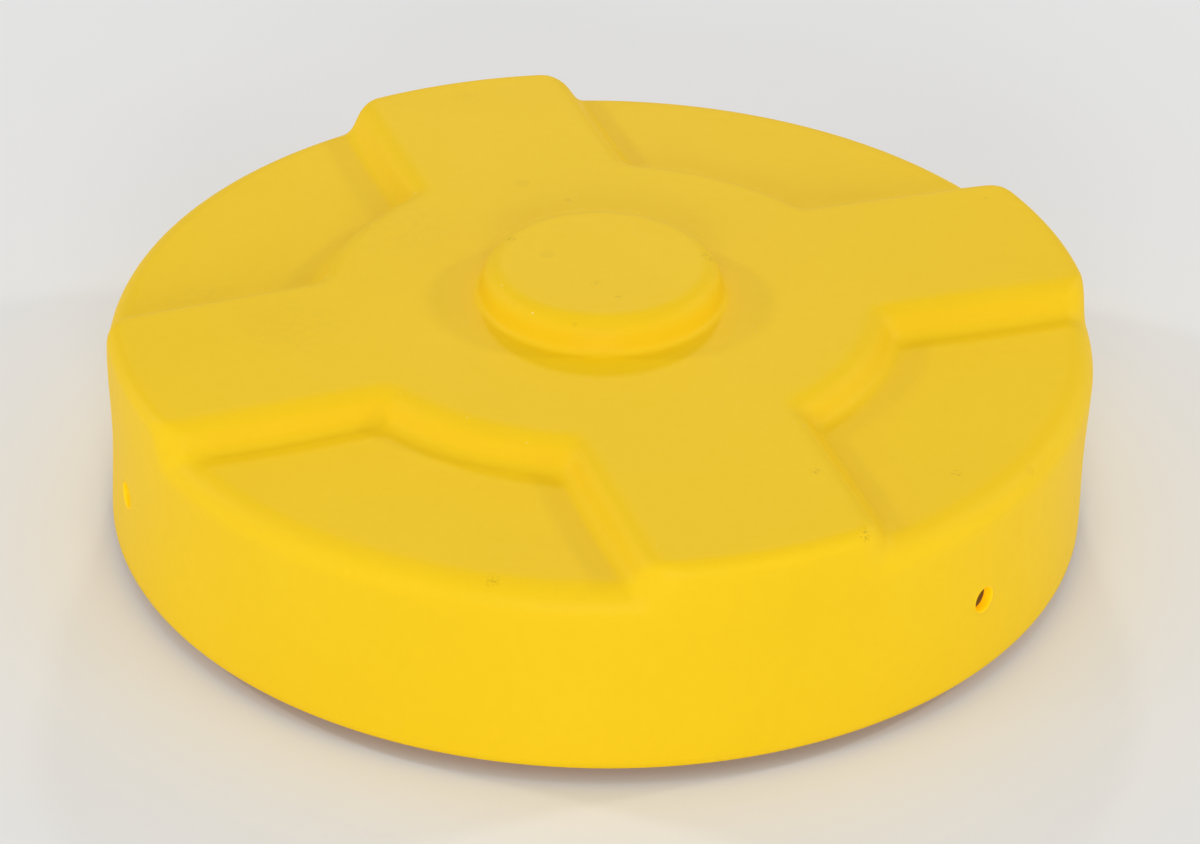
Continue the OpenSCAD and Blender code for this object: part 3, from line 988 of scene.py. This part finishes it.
screws, washers, nuts = Shape(), Shape(), Shape()
tail, washer_z, nut_z = (span(node, 2)[0] for node in ("mount_screws", "mount_washers", "mount_nuts"))
neck = ARM_UNDER - M8_HEAD_DROP
countersink = [(0, neck), (M8_R, neck), (M8_HEAD_R, ARM_UNDER), (0, ARM_UNDER)]
for place in [swivel_place(k) @ upright(x, y) for k in CASTERS for x, y in HOLES_OF_PLATE]:
    turn(screws, thread_outline(M8_R, tail, PLATE_Z, M8_PITCH), place, 0.1, 32)
    turn(screws, rod_outline(M8_R, PLATE_Z, neck), place, 0.1, 32)
    turn(screws, countersink, place, 0.2, 32)
    turn(washers, washer_outline(M8_BORE_R, M8_HEAD_R, washer_z, PLATE_Z), place, 0.3, 40)
    nut(nuts, M8_NUT_R, M8_BORE_R, nut_z, washer_z, place)
shape_piece("plate_screws", screws, "zinc_fastener", "deck_frame", "mount_screws")
shape_piece("plate_washers", washers, "zinc_fastener", "deck_frame", "mount_washers")
shape_piece("plate_nuts", nuts, "zinc_fastener", "deck_frame", "mount_nuts")
print("plate nuts:", len(HOLES_OF_PLATE) * len(CASTERS))

# %% Centre bolt and washer
M12_R, M12_BORE_R, M12_PITCH, M12_NUT_R, DECK_WASHER_R = 6, 6.05, 1.75, 11, 22
middle = Matrix.Identity(4)
head_z, washer_low, washer_high = span("centre_bolt", 2)[0], *span("centre_washer", 2)
centre_bolt, centre_washer = Shape(), Shape()
nut(centre_bolt, M12_NUT_R, 0, head_z, washer_low, middle)
turn(centre_bolt, rod_outline(M12_R, washer_low, span("centre_bolt", 2)[1]), middle, 0.3, 48)
turn(centre_washer, washer_outline(M12_BORE_R, DECK_WASHER_R, washer_low, washer_high), middle, 0.5)
shape_piece("deck_bolt", centre_bolt, "zinc_fastener", "deck_frame", "centre_bolt")
shape_piece("deck_washer", centre_washer, "zinc_fastener", "deck_frame", "centre_washer")
print("centre bolt from", round(head_z, 1))

# %% [markdown]
# ## Swivel heads and axles
# The king bolt holds the plate, the fork and the two ball rows together, and a plastic ring keeps dust out
# of the upper row. The axle bolt is nipped up on a sleeve, and a thin cup at each end of the hub keeps
# thread off the rollers.

# %% Swivel heads
KING_HEAD_R, KING_HEAD_H, SEAL_BORE_R, SEAL_R, SEAL_WAIST = 11, 5, 34.5, 37, 2.4
king_nuts, seals = Shape(), Shape()
king_low, king_high = span("king_nuts", 2)
seal_low, seal_high = span("dust_seals", 2)
seal_outline = [
    (SEAL_BORE_R, seal_low),
    (36.6, seal_low),
    (SEAL_R, seal_low + SEAL_WAIST),
    (36.4, seal_high),
    (SEAL_BORE_R, seal_high),
]
for k in CASTERS:
    place = swivel_place(k)
    nut(king_nuts, M12_NUT_R, M12_BORE_R, king_low, king_high, place)
    turn(seals, seal_outline, place, 0.5, 96)
    bolt = Shape()
    bolt_low, bolt_high = span(f"king_bolt_{k}", 2)
    head_low = bolt_high - KING_HEAD_H
    turn(bolt, thread_outline(M12_R, bolt_low, king_high, M12_PITCH), place, 0.1, 48)
    turn(bolt, rod_outline(M12_R, king_high, head_low), place, 0.1, 48)
    turn(bolt, rod_outline(KING_HEAD_R, head_low, bolt_high), place, 1.2, 48)
    shape_piece(f"king_pin_{k}", bolt, "zinc_fastener", "deck_frame", f"king_bolt_{k}")
shape_piece("swivel_nuts", king_nuts, "zinc_fastener", "deck_frame", "king_nuts")
shape_piece("swivel_seals", seals, "black_plastic", "deck_frame", "dust_seals")
print("king nuts from", round(king_low, 1), "to", round(king_high, 1))

# %% Axles
LEG_OUTER, NUT_END = span("axle_nut_1", 1)
HEAD_END, TAIL_END = span("axle_bolt_1", 1)
GUARD_END = span("thread_guards_1", 1)[1]
CUP_BORE_R, CUP_R, CUP_THICK, COLLAR_H = 8.1, 22.5, 1.5, 3


def cup_outline(side):
    """A thread guard at one end of the hub: a thin disc with a lip that turns in towards the hub."""
    edge = [
        (CUP_BORE_R, CUP_THICK),
        (20.8, CUP_THICK),
        (20.8, 5.0),
        (CUP_R, 5.0),
        (CUP_R, 0.9),
        (21.6, 0.0),
        (12.0, 0.0),
        (11.0, 0.5),
        (CUP_BORE_R, 0.5),
    ]
    return [(r, side * (GUARD_END - z)) for r, z in edge]


collar_outline = [
    (M12_BORE_R, NUT_END - 3.2),
    (9.0, NUT_END - 3.2),
    (8.8, NUT_END - 1.2),
    (7.6, NUT_END),
    (M12_BORE_R, NUT_END),
]
for k in CASTERS:
    place = axle_place(k)
    bolt, lock_nut, guards = Shape(), Shape(), Shape()
    nut(bolt, M12_NUT_R, 0, HEAD_END, -LEG_OUTER, place)
    turn(bolt, rod_outline(M12_R, -LEG_OUTER, LEG_OUTER), place, 0.1, 48)
    turn(bolt, thread_outline(M12_R, LEG_OUTER, TAIL_END, M12_PITCH), place, 0.1, 48)
    nut(lock_nut, M12_NUT_R, M12_BORE_R, LEG_OUTER, NUT_END - COLLAR_H, place)
    turn(lock_nut, collar_outline, place, 0.4, 48)
    for side in (-1, 1):
        turn(guards, cup_outline(side), place, 0.4, 96)
    shape_piece(f"axle_{k}", bolt, "zinc_fastener", f"caster_{k}", f"axle_bolt_{k}")
    shape_piece(f"axle_lock_nut_{k}", lock_nut, "zinc_fastener", f"caster_{k}", f"axle_nut_{k}")
    shape_piece(f"guard_cups_{k}", guards, "grey_plastic", f"caster_{k}", f"thread_guards_{k}")
print("axle from", round(HEAD_END, 1), "to", round(TAIL_END, 1))

# %% Lower races
race_low, race_high = span("lower_race_1", 2)
RACE_R, RACE_CHAMFER = 18.5, 1.3
BALL_Z, BALL_PITCH, GROOVE_R = race_high + 0.8, 14.0, 3.15
dip = math.asin((BALL_Z - race_high) / GROOVE_R)
groove = [
    (BALL_PITCH + GROOVE_R * math.cos(a), BALL_Z - GROOVE_R * math.sin(a))
    for a in np.linspace(dip, math.pi - dip, 11)
]
race_outline = [
    (M12_BORE_R, race_low),
    (RACE_R - RACE_CHAMFER, race_low),
    (RACE_R, race_low + RACE_CHAMFER),
    (RACE_R, race_high),
    *groove,
    (M12_BORE_R, race_high),
]
for k in CASTERS:
    race = Shape()
    turn(race, race_outline, swivel_place(k), 0.3, 72)
    shape_piece(f"cup_race_{k}", race, "zinc_pressing", "deck_frame", f"lower_race_{k}")
print("race groove of", len(groove), "points")

# %% [markdown]
# ## Floor and light
# A pale plain floor and seven soft boxes keep attention on the moulding. A large low one on the camera's
# side, with a weaker fill on each side of it, lights the skirt. Three small ones, at the left, right and
# back, make every wall throw a soft shadow over the low sectors, and one overhead evens the tops.


# %% Studio floor
FLOOR_HALF = 12


def studio_floor():
    """A pale floor that lets a view from below through."""
    f = Finish("studio_floor")
    tone = f.noise(3, detail=2)
    f.set(color=f.blend(tone, rgb(236, 236, 236), rgb(240, 240, 240)), roughness=0.8 + tone * 0.05)
    below = f.node("ShaderNodeNewGeometry")["Backfacing"]
    clear = f.node("ShaderNodeBsdfTransparent")["BSDF"]
    solid = Wire(f, f.shader.outputs["BSDF"])
    mixed = f.node("ShaderNodeMixShader", None, {0: below, 1: solid, 2: clear})["Shader"]
    f.put(f.tree.nodes["Material Output"], {"Surface": mixed})
    mesh = bpy.data.meshes.new("studio_floor")
    corners = [(x * FLOOR_HALF, y * FLOOR_HALF, 0) for x, y in ((-1, -1), (1, -1), (1, 1), (-1, 1))]
    mesh.from_pydata(corners, [], [(0, 1, 2, 3)])
    mesh.materials.append(f.material)
    floor = bpy.data.objects.new("studio_floor", mesh)
    collection.objects.link(floor)


studio_floor()
print("floor half width:", FLOOR_HALF, "m")

# %% Soft boxes
LIGHT_DISTANCE, WORLD_STRENGTH = 3.2, 0.56

# Azimuth from the camera's side and elevation in degrees, side in metres and power in watts.
SOFT_BOXES = {
    "front_box": (0, 17, 0.9, 27),
    "left_fill": (-60, 15, 0.9, 8),
    "right_fill": (60, 15, 0.9, 7),
    "left_box": (-105, 29, 0.22, 14),
    "right_box": (105, 29, 0.22, 14),
    "back_box": (180, 34, 0.25, 9),
    "top_box": (0, 80, 0.8, 5),
}


def soft_box(name, azimuth, elevation, size, power):
    """An area light that faces the origin, on the floor under the middle of the deck."""
    back = direction(VIEW_AZIMUTH + math.radians(azimuth), math.radians(elevation))
    light = bpy.data.objects.new(name, bpy.data.lights.new(name, "AREA"))
    light.data.size, light.data.energy = size, power
    light.location = back * LIGHT_DISTANCE
    light.rotation_euler = (-back).to_track_quat("-Z", "Y").to_euler()
    collection.objects.link(light)


for name, settings in SOFT_BOXES.items():
    soft_box(name, *settings)
world = bpy.data.worlds.new("studio")
scene.world = world
world.use_nodes = True
world.node_tree.nodes["Background"].inputs["Color"].default_value = (1, 1, 1, 1)
world.node_tree.nodes["Background"].inputs["Strength"].default_value = WORLD_STRENGTH
scene.view_settings.view_transform = "Standard"
